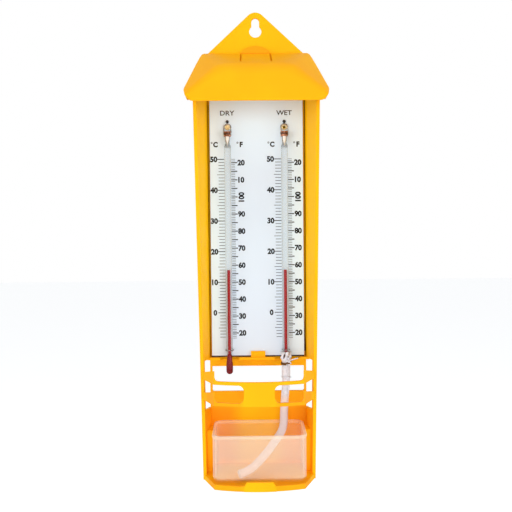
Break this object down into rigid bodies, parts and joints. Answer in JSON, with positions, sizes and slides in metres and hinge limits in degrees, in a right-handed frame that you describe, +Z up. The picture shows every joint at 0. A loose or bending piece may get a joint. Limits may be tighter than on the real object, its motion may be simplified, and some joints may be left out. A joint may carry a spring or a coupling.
{
  "type": "wet and dry bulb hygrometer",
  "caption": "Wall hygrometer: yellow moulded case with clip-on hood, white scale plate, two red spirit thermometers, cotton wick and a pull-out water pot.",
  "frame": {"origin": "centre of the hanging slot at the top of the keyhole, on the wall plane", "axes": "+Z up; the front faces -Y, the wall is the plane y = 0; +X to the viewer's right"},
  "size_m": [0.0926, 0.0534, 0.3198],
  "materials": {
    "case_plastic": "moulded satin, slightly translucent",
    "plate": "smooth satin with black print",
    "glass": "clear",
    "spirit": "dyed liquid behind glass",
    "brass": "plain",
    "copper": "dull copper strip",
    "steel": "dull wire",
    "peg": "black",
    "cotton": "knitted cotton",
    "pot_plastic": "frosted, translucent"
  },
  "bodies": {
    "case": {"case_body": "case_plastic", "hood": "case_plastic", "scale_plate": "plate", "dry_glass_tube": "glass", "wet_glass_tube": "glass", "dry_bulb_spirit": "spirit", "wet_bulb_spirit": "spirit", "dry_column": "spirit", "wet_column": "spirit", "dry_eyelet": "brass", "wet_eyelet": "brass", "dry_top_wire": "steel", "wet_top_wire": "steel", "dry_top_band": "copper", "wet_top_band": "copper", "dry_top_peg": "peg", "wet_top_peg": "peg", "dry_staple": "steel", "wet_staple": "steel", "wick_sleeve": "cotton", "wick_tie": "cotton", "wick_upper": "cotton"},
    "pot": {"water_pot": "pot_plastic", "wick_lower": "cotton"},
    "dry_level": {"dry_column_top": "spirit"},
    "wet_level": {"wet_column_top": "spirit"}
  },
  "joints": [
    {"name": "pot_draw", "type": "slide", "parent": "case", "child": "pot", "axis": [0, -0.9397, 0.342], "range_m": [0, 0.062]},
    {"name": "dry_reading", "type": "slide", "parent": "case", "child": "dry_level", "axis": [0, 0, 1], "range_m": [-0.047, 0.077], "deforming": ["dry_column"]},
    {"name": "wet_reading", "type": "slide", "parent": "case", "child": "wet_level", "axis": [0, 0, 1], "range_m": [-0.047, 0.077], "deforming": ["wet_column"]}
  ]
}
